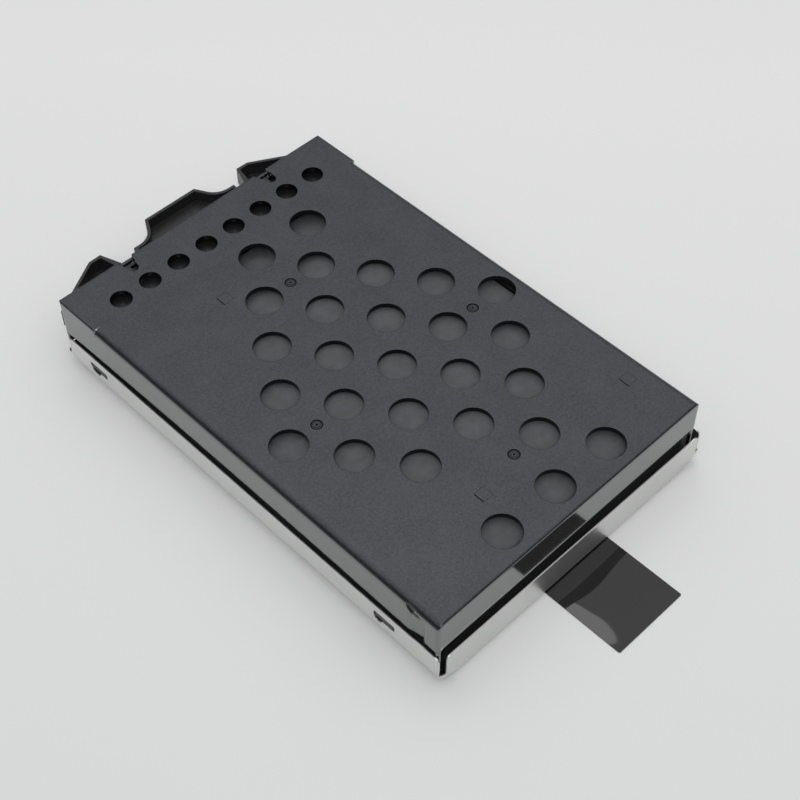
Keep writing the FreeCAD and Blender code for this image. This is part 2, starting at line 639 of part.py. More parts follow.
# ------------------------------------------------------------------- drive
def drive_case():
    # open shell with a step round its rim that the lid drops into
    shell = slab(DX0, DX1, DY0, DY1, DZ0, DZ1, 1.5)
    room = box(DX0 + 1.6, DX1 - 1.6, DY0 + 1.6, DY1 - 1.2, DZ0 + 1.0, DZ1)
    step = box(DX0 + 0.7, DX1 - 0.7, DY0 + 0.7, DY1 - 0.5, DZ1 - LID_T, DZ1 + 1)
    # opening for the plug in the rear wall
    port = box(-17.8, 17.8, DY1 - 3, DY1 + 1, DZ0 + 1.0, DZ1 - LID_T)
    shell = shell.cut(room).cut(step).cut(port)
    # ledges along the long sides that carry the board
    ledges = []
    for side, x in ((1, DX0 + 1.5), (-1, DX1 - 1.5)):
        x_in = x + side * 2.4
        y1 = DY1 - LEDGE_REAR
        ledges.append(box(min(x, x_in), max(x, x_in), y1 - LEDGE_L, y1, DZ0 + 0.9, BOARD_Z0 - SEAT))
    return fuse(shell, ledges)


def drive_lid():
    return box(DX0 + 0.75, DX1 - 0.75, DY0 + 0.75, DY1 - 0.55, DZ1 - LID_T + SEAT, DZ1 - SEAT)


def drive_board():
    y1 = DY1 - BOARD_REAR
    return box(DX0 + BOARD_SIDE, DX1 - BOARD_SIDE, y1 - BOARD_L, y1, BOARD_Z0, BOARD_Z0 + BOARD_T)


def chip(x, y, wx, wy, t):
    z0 = BOARD_Z0 + BOARD_T
    return box(x - wx / 2, x + wx / 2, y - wy / 2, y + wy / 2, z0 + 0.02, z0 + t)


def drive_connector():
    # plug block: body with a long data-and-power tongue facing the rear
    z0 = SOCKET_Z0
    body = box(-17.4, 17.4, DY1 - 5.0, DY1 - 1.4, z0, z0 + 5.2)
    tongue = box(-16.4, 16.4, DY1 - 1.6, DY1 + 3.4, z0 + 2.0, z0 + 3.2)
    tongue = tongue.cut(box(-3.9, -2.5, DY1 - 1.3, DY1 + 4.0, z0 + 1, z0 + 4))
    return fuse(body, [tongue])


def drive_socket():
    z0 = SOCKET_Z0
    body = box(-18.0, 18.0, DY1 + 0.3, DY1 + 4.6, z0 + 0.7, z0 + 4.5)
    return body.cut(box(-16.7, 16.7, DY1 - 1, DY1 + 3.8, z0 + 1.75, z0 + 3.45))


# ------------------------------------------------------------- docking side
def host_board():
    c = REAR_CX
    board = box(c - BAY_X + 2.6, c + BAY_X - 2.6, DY1 + 6.8, HY + 2.3, HOST_Z0, HOST_Z0 + 0.8)
    for side in (-1, 1):
        board = board.cut(rod(c + side * SCREW_X, SCREW_Y, HOST_Z0 - 1, HOST_Z0 + 2, 1.8))
    return board


def host_board_screws():
    c = REAR_CX
    made = []
    for side in (-1, 1):
        x = c + side * SCREW_X
        head = rod(x, SCREW_Y, HOST_Z0 + 0.82, HOST_Z0 + 1.4, 2.8)
        shank = rod(x, SCREW_Y, BAY_Z0 + 0.1, HOST_Z0 + 0.9, 1.4)
        made.append(fuse(head, [shank]))
    return Part.makeCompound(made)


def host_connector():
    # docking plug: insulating body around a central tongue, open to the rear
    c = REAR_CX
    z0 = HOST_Z0
    z1 = BAY_FLOOR - BAY_T - SEAT
    body = box(c - 6.0, c + 6.0, HY + 2.4, HY + 8.2, z0, z1)
    body = body.cut(box(c - 5.3, c + 5.3, HY + 4.0, HY + 9.0, z0 + 0.4, z1 - 0.4))
    return fuse(body, [box(c - 4.9, c + 4.9, HY + 3.5, HY + 7.4, z0 + 0.75, z1 - 0.75)])


def flex_cable():
    # flat cable: leaves the socket, rises in one soft S and lies on the board
    t = 0.2
    r = 0.9
    k = math.sqrt(0.5)
    y0 = DY1 + 4.62
    z0 = SOCKET_Z0 + 2.4
    z1 = HOST_Z0 + 0.8 + SEAT
    y_up = y0 + r
    y_top = y0 + 2 * r
    y_end = HY - 2.0

    def corner(yc, zc, radius, a0, a1, a2):
        pts = [V(0, yc + radius * math.cos(a), zc + radius * math.sin(a)) for a in (a0, a1, a2)]
        return Part.Arc(pts[0], pts[1], pts[2]).toShape()

    q = math.pi / 2
    low = corner(y0, z0 + r, r, -q, -q / 2, 0)
    low_in = corner(y0, z0 + r, r - t, 0, -q / 2, -q)
    high = corner(y_top, z1 - r, r, 2 * q, 1.5 * q, q)
    high_in = corner(y_top, z1 - r, r + t, q, 1.5 * q, 2 * q)
    edges = [
        low,
        Part.makeLine(V(0, y_up, z0 + r), V(0, y_up, z1 - r)),
        high,
        Part.makeLine(V(0, y_top, z1), V(0, y_end, z1)),
        Part.makeLine(V(0, y_end, z1), V(0, y_end, z1 + t)),
        Part.makeLine(V(0, y_end, z1 + t), V(0, y_top, z1 + t)),
        high_in,
        Part.makeLine(V(0, y_up - t, z1 - r), V(0, y_up - t, z0 + r)),
        low_in,
        Part.makeLine(V(0, y0, z0 + t), V(0, y0, z0)),
    ]
    ribbon = Part.Face(Part.Wire(edges))
    ribbon.translate(V(-9.0, 0, 0))
    return ribbon.extrude(V(18.0, 0, 0))


# ------------------------------------------------------------------- write
save("TopCover", top_cover())
save("BaseTray", base_tray())
save("PullFilm", pull_film())
save("InnerFrame", inner_frame())
save("TopPad", top_pad())
save("BottomPad", bottom_pad())
save("LeftPad", side_pad(RING_X0 + SEAT, DX0 - SEAT))
save("RightPad", side_pad(DX1 + SEAT, RING_X1 - SEAT))
save("FrontPad", front_pad())
save("RearPadLeft", rear_pad(DX0 + 1.2, DX0 + 1.2 + REAR_PAD_W))
save("RearPadRight", rear_pad(DX1 - 1.2 - REAR_PAD_W, DX1 - 1.2))
save("InsulatingSheet", insulating_sheet())
save("DriveCase", drive_case())
save("DriveLid", drive_lid())
save("DriveBoard", drive_board())
save("ControllerChip", chip(CPU_X, CPU_Y, CPU_W, CPU_W, 1.1))
for i, letter in enumerate("ABCD"):
    x_chip = DRIVE_CX + (i - 1.5) * CHIP_PITCH
    save("MemoryChip" + letter, chip(x_chip, DY1 - CHIP_REAR, CHIP_W, CHIP_L, 1.0))
save("ThermalPad", box(CPU_X - CPU_W / 2, CPU_X + CPU_W / 2, CPU_Y - CPU_W / 2, CPU_Y + CPU_W / 2,
                       BOARD_Z0 + BOARD_T + 1.15, DZ1 - LID_T))
save("DriveConnector", drive_connector())
save("DriveSocket", drive_socket())
save("FlexCable", flex_cable())
save("HostBoard", host_board())
save("HostConnector", host_connector())
save("HostBoardScrews", host_board_screws())
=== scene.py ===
import json
import math

import bmesh
import bpy
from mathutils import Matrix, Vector, noise


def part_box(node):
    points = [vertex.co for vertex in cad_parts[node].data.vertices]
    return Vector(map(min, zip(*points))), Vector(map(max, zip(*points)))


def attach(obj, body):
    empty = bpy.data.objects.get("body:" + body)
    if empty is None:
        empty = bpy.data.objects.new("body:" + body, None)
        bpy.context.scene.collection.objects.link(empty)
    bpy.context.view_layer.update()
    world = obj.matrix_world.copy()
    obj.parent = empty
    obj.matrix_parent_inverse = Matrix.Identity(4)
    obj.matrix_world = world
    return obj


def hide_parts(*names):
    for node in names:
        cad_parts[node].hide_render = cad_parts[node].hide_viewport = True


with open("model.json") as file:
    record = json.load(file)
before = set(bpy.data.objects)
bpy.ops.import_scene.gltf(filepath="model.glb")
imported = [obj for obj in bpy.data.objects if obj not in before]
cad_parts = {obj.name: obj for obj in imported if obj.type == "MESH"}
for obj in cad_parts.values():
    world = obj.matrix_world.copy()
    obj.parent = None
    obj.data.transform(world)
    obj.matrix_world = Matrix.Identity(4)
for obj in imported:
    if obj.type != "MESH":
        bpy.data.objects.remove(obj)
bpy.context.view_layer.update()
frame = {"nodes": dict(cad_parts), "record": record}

MM = 0.001
NODES = frame["nodes"]
scene = bpy.context.scene


def place_object(name, data):
    obj = bpy.data.objects.new(name, data)
    scene.collection.objects.link(obj)
    return obj


def mesh_from(name, bm):
    """Turn a filled bmesh into a mesh and free it."""
    mesh = bpy.data.meshes.new(name)
    bm.normal_update()
    bm.to_mesh(mesh)
    bm.free()
    return mesh


# ------------------------------------------------------------------ camera
# solved from the straight edges of the photographed caddy
CAM_POS = (-150.67 * MM, -164.14 * MM, 274.11 * MM)
CAM_TURN = (39.389, 0.297, -44.529)      # degrees
CAM_LENS = 70.786                        # mm, on the sensor below
CAM_SENSOR = 36.0
CAM_CLIP = (0.01, 20.0)                  # m

cam_data = bpy.data.cameras.new("Camera")
cam_data.lens = CAM_LENS
cam_data.sensor_width = CAM_SENSOR
cam_data.clip_start, cam_data.clip_end = CAM_CLIP
cam = place_object("Camera", cam_data)
cam.location = CAM_POS
cam.rotation_euler = [math.radians(a) for a in CAM_TURN]
scene.camera = cam
scene.view_settings.view_transform = "Standard"
scene.view_settings.look = "None"


# ------------------------------------------------------------ material kit
MIX_SOCKETS = {"FLOAT": (2, 3, 0), "VECTOR": (4, 5, 1), "RGBA": (6, 7, 2)}   # a, b and the result
NOISE_LOW, NOISE_HIGH = 0.3, 0.7         # a noise node's values mostly lie between these
WALL_FADE = 0.3                          # mm over which outer_wall falls to 0
IOR = 1.5


def scaled(color, k):
    return tuple(c * k for c in color)


class Shade:
    """One node material: a Principled shader with a bump chain, made step by step.

    Lengths are in mm. What goes into a socket may be a number, a colour or the output of a node.
    rough, metallic and specular are plain values; a node that feeds their socket replaces them.
    """

    def __init__(self, name, base, rough, metallic=0.0, specular=0.5):
        self.mat = bpy.data.materials.new(name)
        self.mat.use_nodes = True
        self.tree = self.mat.node_tree
        self.bsdf = self.tree.nodes["Principled BSDF"]
        self.base = base
        self.bsdf.inputs["Base Color"].default_value = (*base, 1.0)
        self.bsdf.inputs["Roughness"].default_value = rough
        self.bsdf.inputs["Metallic"].default_value = metallic
        self.bsdf.inputs["Specular IOR Level"].default_value = specular
        self.bsdf.inputs["IOR"].default_value = IOR
        self.normal = None
        self.place = self.node("ShaderNodeTexCoord").outputs["Object"]

    def node(self, kind, **values):
        made = self.tree.nodes.new(kind)
        for key, value in values.items():
            setattr(made, key, value)
        return made

    def feed(self, socket, value):
        if isinstance(value, bpy.types.NodeSocket):
            self.tree.links.new(value, socket)
        elif isinstance(value, tuple):
            socket.default_value = (*value, 1.0)
        else:
            socket.default_value = value

    # ---- patterns
    def stretch(self, sx, sy, sz):
        made = self.node("ShaderNodeMapping")
        made.inputs["Scale"].default_value = (sx, sy, sz)
        self.feed(made.inputs["Vector"], self.place)
        return made.outputs["Vector"]

    def noise(self, size_mm, detail=3.0, rough=0.55, at=None):
        made = self.node("ShaderNodeTexNoise")
        self.feed(made.inputs["Scale"], 1.0 / (size_mm * MM))
        self.feed(made.inputs["Detail"], detail)
        self.feed(made.inputs["Roughness"], rough)
        self.feed(made.inputs["Vector"], at or self.place)
        return made.outputs["Fac"]

    def cells(self, size_mm, at=None, feature="F1"):
        made = self.node("ShaderNodeTexVoronoi", feature=feature)
        self.feed(made.inputs["Scale"], 1.0 / (size_mm * MM))
        self.feed(made.inputs["Vector"], at or self.place)
        return made.outputs["Distance"]

    def bands(self, size_mm):
        made = self.node("ShaderNodeTexWave", wave_type="BANDS", bands_direction="X")
        self.feed(made.inputs["Scale"], 1.0 / (size_mm * MM))
        self.feed(made.inputs["Vector"], self.place)
        return made.outputs["Fac"]

    # ---- arithmetic
    def math(self, kind, *values):
        made = self.node("ShaderNodeMath", operation=kind)
        for socket, value in zip(made.inputs, values):
            self.feed(socket, value)
        return made.outputs["Value"]

    def sum_of(self, a, a_share, b, b_share):
        return self.math("ADD", self.math("MULTIPLY", a, a_share), self.math("MULTIPLY", b, b_share))

    def mix(self, kind, fac, a, b):
        """a where fac is 0, b where it is 1."""
        made = self.node("ShaderNodeMix", data_type=kind)
        a_at, b_at, result_at = MIX_SOCKETS[kind]
        self.feed(made.inputs[0], fac)
        self.feed(made.inputs[a_at], a)
        self.feed(made.inputs[b_at], b)
        return made.outputs[result_at]

    def span(self, fac, low, high, to_low, to_high):
        made = self.node("ShaderNodeMapRange")
        self.feed(made.inputs["From Min"], low)
        self.feed(made.inputs["From Max"], high)
        self.feed(made.inputs["To Min"], to_low)
        self.feed(made.inputs["To Max"], to_high)
        self.feed(made.inputs["Value"], fac)
        return made.outputs["Result"]

    def fade(self, mask, at_0, at_1):
        """at_0 where a mask is 0, at_1 where it is 1."""
        return self.span(mask, 0.0, 1.0, at_0, at_1)

    def axes(self, vector):
        split = self.node("ShaderNodeSeparateXYZ")
        self.feed(split.inputs["Vector"], vector)
        return split.outputs

    # ---- masks
    def upward(self, low=0.85, high=0.98):
        """1 on faces that look up, 0 on walls; low and high bound the change on a rounded edge."""
        facing = self.axes(self.node("ShaderNodeNewGeometry").outputs["Normal"])
        return self.span(facing["Z"], low, high, 0.0, 1.0)

    def outer_wall(self, node, depth_mm):
        """1 within depth_mm of the sides of a CAD node's box, 0 further in, as in its holes."""
        lo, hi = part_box(node)
        at = self.axes(self.place)
        reach = []
        for axis in (0, 1):
            middle, half = (lo[axis] + hi[axis]) / 2, (hi[axis] - lo[axis]) / 2
            off = self.math("ABSOLUTE", self.math("SUBTRACT", at[axis], middle))
            reach.append(self.math("SUBTRACT", off, half))
        nearest = self.math("MAXIMUM", *reach)
        return self.span(nearest, -(depth_mm + WALL_FADE) * MM, -depth_mm * MM, 0.0, 1.0)

    # ---- what goes into the shader
    def color(self, value):
        self.feed(self.bsdf.inputs["Base Color"], value)

    def ramp_color(self, fac, low, high, dark, light):
        ramp = self.node("ShaderNodeValToRGB")
        for stop, position, shade in zip(ramp.color_ramp.elements, (low, high), (dark, light)):
            stop.position = position
            stop.color = (*shade, 1.0)
        self.feed(ramp.inputs["Fac"], fac)
        self.color(ramp.outputs["Color"])
        return ramp.outputs["Color"]

    def tone(self, fac, dark, light, low=NOISE_LOW, high=NOISE_HIGH):
        """Colour from dark to light shares of the base while fac runs from low to high."""
        return self.ramp_color(fac, low, high, scaled(self.base, dark), scaled(self.base, light))

    def rough(self, fac, smooth, matt, low=NOISE_LOW, high=NOISE_HIGH):
        """Roughness from smooth to matt while fac runs from low to high."""
        self.feed(self.bsdf.inputs["Roughness"], self.span(fac, low, high, smooth, matt))

    def rounded(self, radius_mm, samples=6):
        """The normal with its edges softened."""
        bevel = self.node("ShaderNodeBevel", samples=samples)
        self.feed(bevel.inputs["Radius"], radius_mm * MM)
        return bevel.outputs["Normal"]

    def soft_edges(self, radius_mm):
        self.normal = self.rounded(radius_mm)

    def bump(self, height, depth_mm, strength=1.0):
        made = self.node("ShaderNodeBump")
        self.feed(made.inputs["Distance"], depth_mm * MM)
        self.feed(made.inputs["Strength"], strength)
        self.feed(made.inputs["Height"], height)
        if self.normal:
            self.feed(made.inputs["Normal"], self.normal)
        self.normal = made.outputs["Normal"]

    def done(self):
        if self.normal:
            self.feed(self.bsdf.inputs["Normal"], self.normal)
        return self.mat


# --------------------------------------------------------------- materials
def cover_material():
    """Black cover: spark-eroded grain on the top face, walls polished to a dark mirror."""
    base = (0.0262, 0.0278, 0.0341)
    mirror = (0.222, 0.227, 0.226)
    s = Shade("CoverPlastic", base, rough=0.45, specular=0.45)
    up = s.upward()
    fine = s.noise(size_mm=0.32, rough=0.65)
    specks = s.noise(size_mm=0.5, detail=2.0, rough=0.6)
    clouds = s.noise(size_mm=9.0, detail=4.0)
    skin = s.tone(s.sum_of(clouds, 0.3, specks, 0.7), dark=0.62, light=1.42, low=0.36, high=0.66)

    # polished are the outer walls below the rounded edges, but not the walls of the holes
    wall = s.math("SUBTRACT", 1.0, s.upward(low=0.31, high=0.43))
    polished = s.math("MULTIPLY", wall, s.outer_wall("TopCover", depth_mm=1.9))
    s.feed(s.bsdf.inputs["Metallic"], polished)
    # painted shade: the rounded edges and the holes' walls are painted near black, and the grain
    # ends there
    grain_and_painted_shade = s.mix("RGBA", s.upward(low=0.35, high=0.9), scaled(base, 0.03), skin)
    s.color(s.mix("RGBA", polished, grain_and_painted_shade, mirror))

    wall_rough = s.span(s.noise(size_mm=3.0), NOISE_LOW, NOISE_HIGH, 0.09, 0.14)
    grain_rough = s.span(fine, NOISE_LOW, NOISE_HIGH, 0.36, 0.52)
    s.feed(s.bsdf.inputs["Roughness"], s.mix("FLOAT", up, wall_rough, grain_rough))

    # the outer edges are rounder than the rims of the holes
    rims, outer_edges = s.rounded(radius_mm=0.16), s.rounded(radius_mm=0.9, samples=8)
    s.normal = s.mix("VECTOR", s.outer_wall("TopCover", depth_mm=1.2), rims, outer_edges)
    s.bump(fine, depth_mm=0.035, strength=s.fade(up, 0.01, 0.75))
    s.bump(s.noise(size_mm=14.0, detail=2.0), depth_mm=0.10, strength=0.25)
    return s.done()


def mark_material(name, base, specular):
    """Where the mould's pins and inserts met: darker and matt; the darkest one also serves as
    painted shade.
    """
    s = Shade(name, base, rough=0.6, specular=specular)
    s.tone(s.noise(size_mm=0.5), dark=0.8, light=1.2)
    s.bump(s.noise(size_mm=0.3), depth_mm=0.01, strength=0.4)
    return s.done()


def frame_material():
    """Inner frame: plain black plastic, a little glossier than the cover's top."""
    s = Shade("FramePlastic", (0.0115, 0.0119, 0.0128), rough=0.35, specular=0.45)
    s.tone(s.noise(size_mm=6.0), dark=0.9, light=1.1, low=0.35)
    s.rough(s.noise(size_mm=0.8), smooth=0.27, matt=0.4)
    s.soft_edges(radius_mm=0.14)
    s.bump(s.noise(size_mm=0.4, detail=2.0), depth_mm=0.02, strength=0.3)
    return s.done()


def steel_material():
    """Bright rolled sheet: a faint grain along the rolling direction and light handling marks."""
    s = Shade("TrayMetal", (0.72, 0.725, 0.715), rough=0.28, metallic=1.0)
    grain = s.noise(size_mm=1.0, detail=2.0, at=s.stretch(7.0, 0.35, 7.0))
    marks = s.noise(size_mm=11.0, detail=5.0, rough=0.6)
    s.tone(s.noise(size_mm=18.0), dark=0.96, light=1.03, high=0.75)
    s.rough(s.sum_of(grain, 0.5, marks, 0.5), smooth=0.3, matt=0.4, low=0.35, high=0.65)
    s.soft_edges(radius_mm=0.08)
    s.bump(grain, depth_mm=0.006, strength=s.fade(s.upward(), 0.08, 0.3))
    s.bump(s.noise(size_mm=16.0, detail=1.0), depth_mm=0.06, strength=0.3)
    return s.done()


def film_material():
    """Pull film: glossy, with finger smears and slow waves."""
    s = Shade("PullFilmPlastic", (0.0022, 0.002, 0.0024), rough=0.09)
    s.rough(s.noise(size_mm=7.0, detail=5.0, rough=0.6), smooth=0.02, matt=0.05, low=0.35)
    s.tone(s.noise(size_mm=20.0), dark=0.85, light=1.15)
    s.bump(s.noise(size_mm=22.0, detail=1.0), depth_mm=0.9)
    return s.done()


def foam_material():
    """Closed-cell foam: matt, with fine open pores on its skin."""
    s = Shade("PadFoam", (0.058, 0.0615, 0.0665), rough=0.72, specular=0.35)
    s.tone(s.noise(size_mm=2.5, detail=5.0), dark=0.82, light=1.18, high=0.75)
    s.bump(s.cells(size_mm=0.38), depth_mm=0.05, strength=0.5)
    s.bump(s.noise(size_mm=0.16, detail=2.0), depth_mm=0.02, strength=0.6)
    s.bsdf.inputs["Sheen Weight"].default_value = 0.12
    s.bsdf.inputs["Sheen Roughness"].default_value = 0.5
    return s.done()


def sheet_material():
    """Insulating sheet on the tray's floor."""
    s = Shade("SheetPlastic", (0.02, 0.02, 0.022), rough=0.4)
    s.rough(s.noise(size_mm=5.0), smooth=0.33, matt=0.48)
    s.bump(s.noise(size_mm=0.5), depth_mm=0.01, strength=0.3)
    return s.done()


def alu_material():
    """Drive case and lid: blasted aluminium."""
    s = Shade("DriveAluminium", (0.68, 0.69, 0.70), rough=0.42, metallic=1.0)
    s.rough(s.noise(size_mm=0.5), smooth=0.36, matt=0.5)
    s.tone(s.noise(size_mm=15.0), dark=0.95, light=1.04)
    s.soft_edges(radius_mm=0.12)
    s.bump(s.noise(size_mm=0.2, detail=2.0), depth_mm=0.012, strength=0.5)
    return s.done()


def screw_material():
    s = Shade("ScrewSteel", (0.58, 0.575, 0.56), rough=0.3, metallic=1.0)
    s.rough(s.noise(size_mm=0.4), smooth=0.24, matt=0.38)
    s.soft_edges(radius_mm=0.06)
    return s.done()


def board_material():
    """Solder mask over a grid of fine tracks."""
    mask, track = (0.012, 0.075, 0.036), (0.03, 0.14, 0.065)
    s = Shade("BoardMask", mask, rough=0.25)
    gaps = s.cells(size_mm=1.6, at=s.stretch(1.0, 0.3, 1.0), feature="DISTANCE_TO_EDGE")
    tracks = s.span(gaps, 0.06, 0.1, 1.0, 0.0)
    s.ramp_color(tracks, 0.2, 0.8, mask, track)
    s.rough(s.noise(size_mm=3.0), smooth=0.2, matt=0.32)
    s.bump(tracks, depth_mm=0.03, strength=0.6)
    return s.done()


def chip_material():
    s = Shade("ChipResin", (0.022, 0.022, 0.023), rough=0.5)
    s.rough(s.noise(size_mm=0.3), smooth=0.42, matt=0.6)
    s.soft_edges(radius_mm=0.08)
    s.bump(s.noise(size_mm=0.12), depth_mm=0.012, strength=0.6)
    return s.done()


def thermal_material():
    """Soft gel pad between the controller chip and the lid."""
    s = Shade("ThermalPadGel", (0.30, 0.36, 0.42), rough=0.6)
    s.tone(s.noise(size_mm=0.6, detail=4.0), dark=0.9, light=1.1)
    s.bump(s.noise(size_mm=0.8), depth_mm=0.05, strength=0.5)
    return s.done()


def connector_material():
    s = Shade("ConnectorResin", (0.018, 0.018, 0.019), rough=0.42)
    s.rough(s.noise(size_mm=0.6), smooth=0.34, matt=0.5)
    s.soft_edges(radius_mm=0.06)
    s.bump(s.noise(size_mm=0.3), depth_mm=0.01, strength=0.4)
    return s.done()


def flex_material():
    """Amber film with its conductors side by side."""
    s = Shade("FlexFilm", (0.36, 0.14, 0.025), rough=0.22)
    conductors = s.bands(size_mm=3.2)
    s.tone(conductors, dark=0.7, light=1.0, low=0.35, high=0.6)
    s.bump(conductors, depth_mm=0.02, strength=0.5)
    return s.done()


MATERIALS = {
    "cover_black": cover_material(),
    "frame_black": frame_material(),
    "tray_steel": steel_material(),
    "film_black": film_material(),
    "pad_black": foam_material(),
    "sheet_black": sheet_material(),
    "drive_metal": alu_material(),
    "screw_steel": screw_material(),
    "board_green": board_material(),
    "chip_black": chip_material(),
    "thermal_pad": thermal_material(),
    "connector_black": connector_material(),
    "flex_amber": flex_material(),
}
SLOT_OF = {row["node"]: row["material_slot"] for row in frame["record"]["subparts"]}
for name in NODES:
    material = MATERIALS[SLOT_OF[name]]
    slots = NODES[name].data.materials
    if len(slots) == 0:
        slots.append(material)
    for i in range(len(slots)):
        slots[i] = material


# -------------------------------------------------------------------- pads
SKIN_WAVE = 9 * MM                       # size of the uneven patches on a pad's skin
FEWEST_CELLS = 4


def grid_of(node, cell_mm):
    """How many cells of about cell_mm the box of a CAD node takes along x, y and z."""
    lo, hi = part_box(node)
    return [max(FEWEST_CELLS, int(round((hi[i] - lo[i]) / (cell_mm * MM)))) for i in range(3)]


def foam_block(name, node, slot, grid, top, rounding, dent):
    """Closed cushion on a fine grid: rounded rim, skin that is never quite even.

    top gives the height of the upper face at (x, y); the rest follows the box of the CAD solid.
    """
    lo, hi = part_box(node)
    nx, ny, nz = grid
    bm = bmesh.new()
    made = {}

    def corner(i, j, k):
        if (i, j, k) in made:
            return made[i, j, k]
        x = lo.x + (hi.x - lo.x) * i / nx
        y = lo.y + (hi.y - lo.y) * j / ny
        z_top = top(x, y)
        z = lo.z + (z_top - lo.z) * k / nz
        p = Vector((x, y, z))
        # pull the rim in along a quarter round
        inner = Vector((min(max(x, lo.x + rounding), hi.x - rounding),
                        min(max(y, lo.y + rounding), hi.y - rounding),
                        min(max(z, lo.z + rounding), z_top - rounding)))
        away = p - inner
        if away.length > rounding:
            p = inner + away.normalized() * rounding
        # then dent the skin towards the middle
        middle = Vector(((lo.x + hi.x) / 2, (lo.y + hi.y) / 2, (lo.z + z_top) / 2))
        p += (middle - p).normalized() * abs(noise.noise(p * (1 / SKIN_WAVE)) * dent)
        made[i, j, k] = bm.verts.new(p)
        return made[i, j, k]

    def face(*corners):
        bm.faces.new([corner(*c) for c in corners])

    for i in range(nx):
        for j in range(ny):
            face((i, j, nz), (i + 1, j, nz), (i + 1, j + 1, nz), (i, j + 1, nz))
            face((i, j, 0), (i, j + 1, 0), (i + 1, j + 1, 0), (i + 1, j, 0))
    for i in range(nx):
        for k in range(nz):
            face((i, 0, k), (i + 1, 0, k), (i + 1, 0, k + 1), (i, 0, k + 1))
            face((i, ny, k), (i, ny, k + 1), (i + 1, ny, k + 1), (i + 1, ny, k))
    for j in range(ny):
        for k in range(nz):
            face((0, j, k), (0, j, k + 1), (0, j + 1, k + 1), (0, j + 1, k))
            face((nx, j, k), (nx, j + 1, k), (nx, j + 1, k + 1), (nx, j, k + 1))

    mesh = mesh_from(name, bm)
    mesh.materials.append(MATERIALS[slot])
    for poly in mesh.polygons:
        poly.use_smooth = True
    pad = place_object(name, mesh)
    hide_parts(node)
    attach(pad, "root")


# the top pad is crowned across, as its CAD solid is
TOP_LO, TOP_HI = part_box("TopPad")
CROWN = TOP_HI.z
SIDE_DROP = 1.2 * MM
HALF_W = (TOP_HI.x - TOP_LO.x) / 2
MID_X = (TOP_HI.x + TOP_LO.x) / 2
CROWN_R = (HALF_W ** 2 + SIDE_DROP ** 2) / (2 * SIDE_DROP)
# and it falls away at both ends along two sloping planes
REAR_Y, REAR_LIFT, REAR_SLOPE = 24.0 * MM, 0.1 * MM, 3.1 / 22.0
FRONT_Y, FRONT_DROP, FRONT_SLOPE = -57.0 * MM, 1.3 * MM, 1.35 / 23.0


def top_pad_height(x, y):
    """Height of the top pad's upper face: the lowest of its crown and its two end planes."""
    arc = CROWN - CROWN_R + math.sqrt(CROWN_R ** 2 - (x - MID_X) ** 2)
    rear = CROWN + REAR_LIFT - (y - REAR_Y) * REAR_SLOPE
    front = CROWN - FRONT_DROP + (y - FRONT_Y) * FRONT_SLOPE
    return min(arc, rear, front)


# cells in mm; the top pad has finer ones, because it shows through the air holes
TOP_CELL, TOP_LAYERS, TOP_ROUNDING, TOP_DENT = 0.8, 6, 0.45 * MM, 0.06 * MM
PAD_CELL, PAD_ROUNDING, PAD_DENT = 1.2, 0.35 * MM, 0.05 * MM
FLAT_PADS = ("BottomPad", "LeftPad", "RightPad", "FrontPad", "RearPadLeft", "RearPadRight",
             "ThermalPad")

foam_block("TopPadFoam", "TopPad", "pad_black", (*grid_of("TopPad", TOP_CELL)[:2], TOP_LAYERS),
           top_pad_height, TOP_ROUNDING, TOP_DENT)
for node in FLAT_PADS:
    flat_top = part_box(node)[1].z
    foam_block(node + "Foam", node, SLOT_OF[node], grid_of(node, PAD_CELL),
               lambda x, y: flat_top, PAD_ROUNDING, PAD_DENT)


# ------------------------------------- marks and latch finger of the cover
# near black: the pins' dots, and painted shade in the rings' grooves and along the square marks' -X
# sides
MARK_AND_SHADE_DARK = mark_material("MarkAndShadeDark", (0.0035, 0.0036, 0.0042), 0.06)
MARK_SHADE = mark_material("MarkShade", (0.018, 0.0187, 0.0225), 0.3)
COVER_LO, COVER_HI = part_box("TopCover")
COVER_TOP = COVER_HI.z
HOLE_MID = (1.1 * MM, -7.1 * MM)         # middle of the field of air holes
HOLE_STEP = (7.75 * MM, 11.3 * MM)       # its half pitches

# ring marks of the ejector pins: places in half pitches, radii and heights over the top in mm
RING_PLACES = ((0, 3), (3, 0), (-3, 0), (0, -3))
RING_TURNS = 28
RINGS = (
    # the rims are painted shade along the outer edge of each mark's groove
    ("RingMarkRims", MARK_AND_SHADE_DARK, 1.08, 1.34, -0.1),
    ("RingMarkFloors", MARK_SHADE, 0.6, 1.08, -0.12),
    ("RingMarkPins", MARK_AND_SHADE_DARK, 0.0001, 0.3, 0.01),
)

# square marks of the mould's inserts: places in mm from the middle of the field
SQUARE_PLACES = ((-11.7, -36.4), (31.7, -37.2), (-13.5, 40.5))
SQUARE_HALF = 1.45 * MM
LINE_WIDTH, LINE_LIFT = 0.13 * MM, 0.008 * MM
# the painted shade strip along each square's -X side
EDGE_WIDTH, EDGE_LIFT = 0.26 * MM, 0.01 * MM
EDGE_REACH = 0.8                         # share of SQUARE_HALF it runs past the middle

# the left pocket's eye-shaped window: (y from the cover's front, z from its top), mm
EYE_REAR, EYE_FRONT = (8.8, -1.35), (4.0, -3.1)
EYE_DIP, EYE_BROW = (6.4, -3.35), (6.4, -1.3)
RAMP_REAR, RAMP_FRONT, RAMP_DEPTH = 9.4, 3.8, 0.85      # the wedge cut into the wall, mm
FINGER_BEHIND = 0.1                      # mm behind that wedge
FINGER_LOW, FINGER_HIGH = 0.08, 0.56     # shares of the window's height
FINGER_STEPS = 12


def surface_piece(name, material, draw):
    """Thin flat mesh on the cover; draw(bm) fills it."""
    bm = bmesh.new()
    draw(bm)
    mesh = mesh_from(name, bm)
    mesh.materials.append(material)
    obj = place_object(name, mesh)
    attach(obj, "root")


